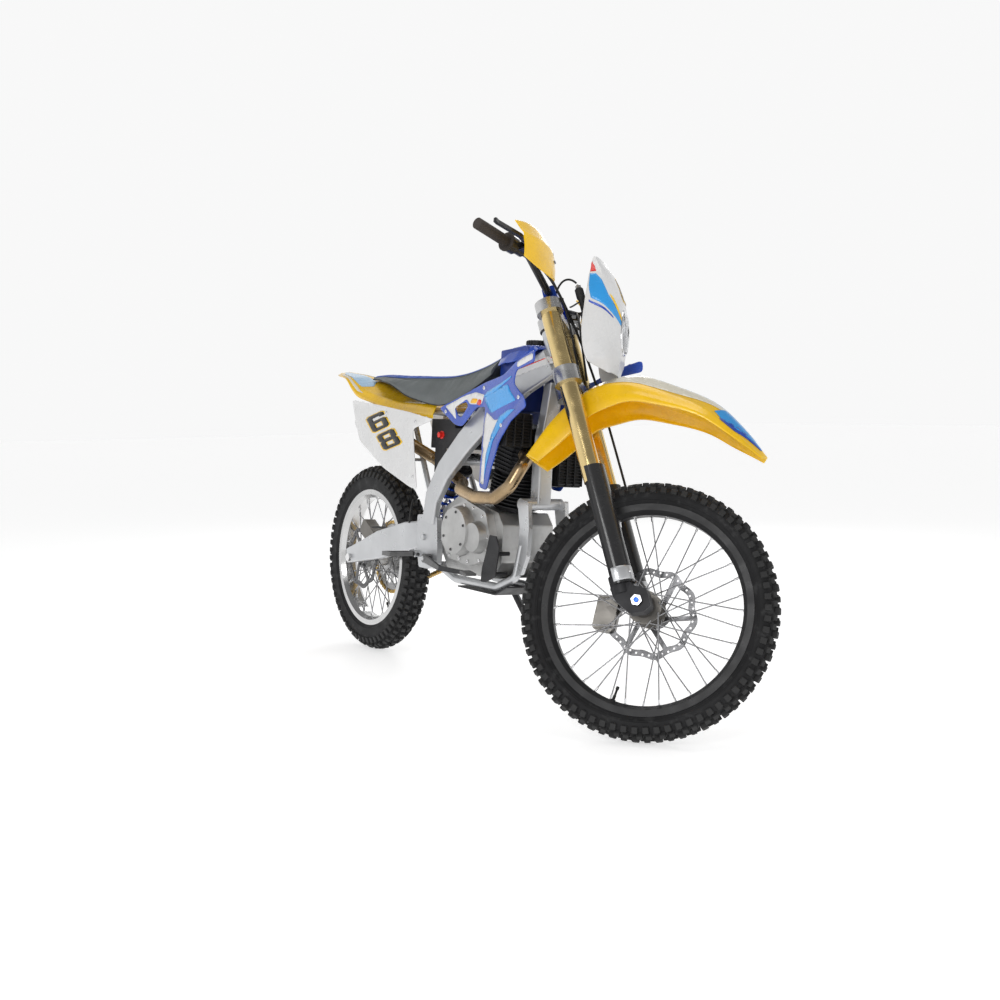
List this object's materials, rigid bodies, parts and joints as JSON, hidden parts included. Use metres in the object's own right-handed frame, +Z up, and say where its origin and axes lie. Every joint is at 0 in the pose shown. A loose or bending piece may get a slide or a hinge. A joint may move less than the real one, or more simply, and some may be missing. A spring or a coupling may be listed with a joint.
{
  "type": "off-road motorcycle",
  "caption": "Off-road motorcycle on its side stand with the bars on left lock: frame, engine, knobby tyres, fork, swingarm, plastics and working controls.",
  "frame": {"origin": "on the ground, under the middle of the parked machine's bounding box", "axes": "+X is forwards along the rear wheel's plane on the ground, +Y to the rider's left, +Z up; the machine leans 4 degrees to +Y on its stand and its steering is on the left lock"},
  "size_m": [2.067, 0.6482, 1.3715],
  "materials": {
    "frame_silver": "painted satin",
    "black_steel": "satin",
    "engine_alloy": "cast satin",
    "cast_black": "painted matt",
    "header_bronze": "heat tinted",
    "blue_plastic": "gloss",
    "yellow_plastic": "gloss",
    "white_plastic": "gloss",
    "black_plastic": "grained",
    "seat_cover": "matt grain",
    "tyre_rubber": "matt",
    "rim_black": "satin",
    "rim_silver": "polished",
    "spoke_steel": "bright",
    "fork_gold": "anodised",
    "clamp_alloy": "machined",
    "disc_steel": "brushed",
    "chain_gold": "satin",
    "grip_rubber": "matt",
    "cable_rubber": "satin",
    "spring_blue": "gloss",
    "anodised_blue": "anodised"
  },
  "bodies": {
    "chassis": {"main_frame": "frame_silver", "subframe": "frame_silver", "crankcase": "engine_alloy", "engine_covers": "engine_alloy", "cylinder_barrel": "cast_black", "cylinder_head": "cast_black", "exhaust": "header_bronze", "carburettor": "engine_alloy", "airbox": "black_plastic", "radiators": "cast_black", "fuel_tank": "black_plastic", "seat": "seat_cover", "tank_shrouds": "blue_plastic", "side_panels": "white_plastic", "rear_fender": "yellow_plastic", "engine_guard": "black_plastic"},
    "steering_head": {"triple_clamps": "clamp_alloy", "bar_risers": "anodised_blue", "fork_tubes": "fork_gold", "handlebar": "black_steel", "headlight_mask": "white_plastic", "front_fender": "yellow_plastic", "hand_guards": "yellow_plastic", "right_controls": "black_plastic", "left_controls": "black_plastic", "control_cables": "cable_rubber"},
    "fork_lower": {"fork_sliders": "cast_black", "front_axle": "spoke_steel", "fork_guards": "black_plastic", "front_caliper": "engine_alloy"},
    "front_wheel": {"front_tyre": "tyre_rubber", "front_rim": "rim_black", "front_spokes": "spoke_steel", "front_hub": "engine_alloy", "front_disc": "disc_steel"},
    "swinging_arm": {"swingarm": "frame_silver", "rear_axle": "spoke_steel", "rear_caliper": "engine_alloy", "drive_chain": "chain_gold"},
    "rear_wheel": {"rear_tyre": "tyre_rubber", "rear_rim": "rim_silver", "rear_spokes": "spoke_steel", "rear_hub": "engine_alloy", "rear_disc": "disc_steel", "rear_sprocket": "engine_alloy"},
    "engine_sprocket": {"front_sprocket": "black_steel"},
    "shock_upper": {"shock_body": "black_steel", "shock_spring": "spring_blue"},
    "shock_lower": {"shock_rod": "spoke_steel"},
    "throttle": {"throttle_grip": "grip_rubber"},
    "front_brake_lever": {"brake_lever": "clamp_alloy"},
    "clutch_hand_lever": {"clutch_lever": "clamp_alloy"},
    "foot_brake": {"brake_pedal": "black_steel"},
    "gear_lever": {"shift_lever": "black_steel"},
    "kick_starter": {"kick_lever": "black_steel"},
    "stand": {"side_stand": "black_steel"},
    "right_peg": {"footpeg_right": "black_steel"},
    "left_peg": {"footpeg_left": "black_steel"},
    "filler_cap": {"fuel_cap": "black_plastic"},
    "kill_switch": {"kill_button": "black_plastic"}
  },
  "joints": [
    {"name": "steering", "type": "hinge", "parent": "chassis", "child": "steering_head", "pos_m": [0.35942, -0.00707, 0.9671], "axis": [-0.4564, 0.0621, 0.8876], "range_deg": [-79, 0], "deforming": ["control_cables"]},
    {"name": "fork_travel", "type": "slide", "parent": "steering_head", "child": "fork_lower", "axis": [-0.4564, 0.0621, 0.8876], "range_m": [-0.06, 0.14], "stiffness_N_per_m": 9000, "springref_m": -0.054},
    {"name": "front_wheel_spin", "type": "hinge", "parent": "fork_lower", "child": "front_wheel", "pos_m": [0.7391, -0.01255, 0.32945], "axis": [-0.566, 0.7495, -0.3434], "continuous": true},
    {"name": "swingarm_pivot", "type": "hinge", "parent": "chassis", "child": "swinging_arm", "pos_m": [-0.17781, -0.04352, 0.44588], "axis": [0, 0.9976, -0.0698], "range_deg": [-4, 20], "stiffness_Nm_per_rad": 1800, "springref_deg": -7.73, "deforming": ["drive_chain", "shock_spring"]},
    {"name": "rear_wheel_spin", "type": "hinge", "parent": "swinging_arm", "child": "rear_wheel", "pos_m": [-0.70352, -0.05167, 0.32932], "axis": [0, 0.9976, -0.0698], "continuous": true},
    {"name": "engine_sprocket_spin", "type": "hinge", "parent": "chassis", "child": "engine_sprocket", "pos_m": [-0.0968, -0.04341, 0.44738], "axis": [0, 0.9976, -0.0698], "continuous": true},
    {"name": "shock_swing", "type": "hinge", "parent": "chassis", "child": "shock_upper", "pos_m": [-0.11826, -0.02555, 0.70289], "axis": [0, 0.9976, -0.0698], "range_deg": [-1.46, 6.11]},
    {"name": "shock_stroke", "type": "slide", "parent": "shock_upper", "child": "shock_lower", "axis": [0.6657, 0.0521, 0.7444], "range_m": [-0.0115, 0.0495]},
    {"name": "throttle_twist", "type": "hinge", "parent": "steering_head", "child": "throttle", "pos_m": [0.3943, -0.25986, 1.33659], "axis": [0.2393, -0.9194, 0.312], "range_deg": [0, 75], "stiffness_Nm_per_rad": 0.4, "springref_deg": -11.46},
    {"name": "brake_lever_pull", "type": "hinge", "parent": "steering_head", "child": "front_brake_lever", "pos_m": [0.41228, -0.14748, 1.30783], "axis": [0.1874, -0.2716, -0.944], "range_deg": [0, 12], "stiffness_Nm_per_rad": 1.5, "springref_deg": -5.73},
    {"name": "clutch_lever_pull", "type": "hinge", "parent": "steering_head", "child": "clutch_hand_lever", "pos_m": [0.12685, 0.23052, 1.13462], "axis": [-0.2039, 0.2934, 0.934], "range_deg": [0, 12], "stiffness_Nm_per_rad": 1.5, "springref_deg": -5.73},
    {"name": "foot_brake_press", "type": "hinge", "parent": "chassis", "child": "foot_brake", "pos_m": [-0.12618, -0.18054, 0.39299], "axis": [0, 0.9976, -0.0698], "range_deg": [0, 12], "stiffness_Nm_per_rad": 20, "springref_deg": -5.73},
    {"name": "gear_shift", "type": "hinge", "parent": "chassis", "child": "gear_lever", "pos_m": [-0.0111, 0.05282, 0.39002], "axis": [0, 0.9976, -0.0698], "range_deg": [-12, 12], "stiffness_Nm_per_rad": 20},
    {"name": "kick_start", "type": "hinge", "parent": "chassis", "child": "kick_starter", "pos_m": [-0.00262, 0.06837, 0.46907], "axis": [0, -0.9976, 0.0698], "range_deg": [0, 60], "stiffness_Nm_per_rad": 2, "springref_deg": -28.65},
    {"name": "side_stand_fold", "type": "hinge", "parent": "chassis", "child": "stand", "pos_m": [-0.05147, 0.06846, 0.32701], "axis": [0.0027, 0.921, 0.3896], "range_deg": [0, 85]},
    {"name": "right_peg_fold", "type": "hinge", "parent": "chassis", "child": "right_peg", "pos_m": [-0.21315, -0.17709, 0.39929], "axis": [-1, 0.0004, 0.006], "range_deg": [0, 60], "stiffness_Nm_per_rad": 1, "springref_deg": -45.84},
    {"name": "left_peg_fold", "type": "hinge", "parent": "chassis", "child": "left_peg", "pos_m": [-0.21315, 0.08227, 0.38115], "axis": [1, -0.0004, -0.006], "range_deg": [0, 60], "stiffness_Nm_per_rad": 1, "springref_deg": -45.84},
    {"name": "filler_cap_turn", "type": "hinge", "parent": "chassis", "child": "filler_cap", "pos_m": [0.23479, -0.00184, 1.04195], "axis": [0.006, 0.0698, 0.9975], "range_deg": [0, 120]},
    {"name": "kill_button_press", "type": "slide", "parent": "steering_head", "child": "kill_switch", "axis": [0.5212, 0.3582, -0.7746], "range_m": [0, 0.003], "stiffness_N_per_m": 600, "springref_m": -0.002}
  ],
  "couplings": [
    {"joint": "shock_swing", "follows": "swingarm_pivot", "ratio": 0.29038},
    {"joint": "shock_stroke", "follows": "swingarm_pivot", "m_per_rad": 0.13598},
    {"joint": "engine_sprocket_spin", "follows": "rear_wheel_spin", "ratio": 3.5714}
  ]
}
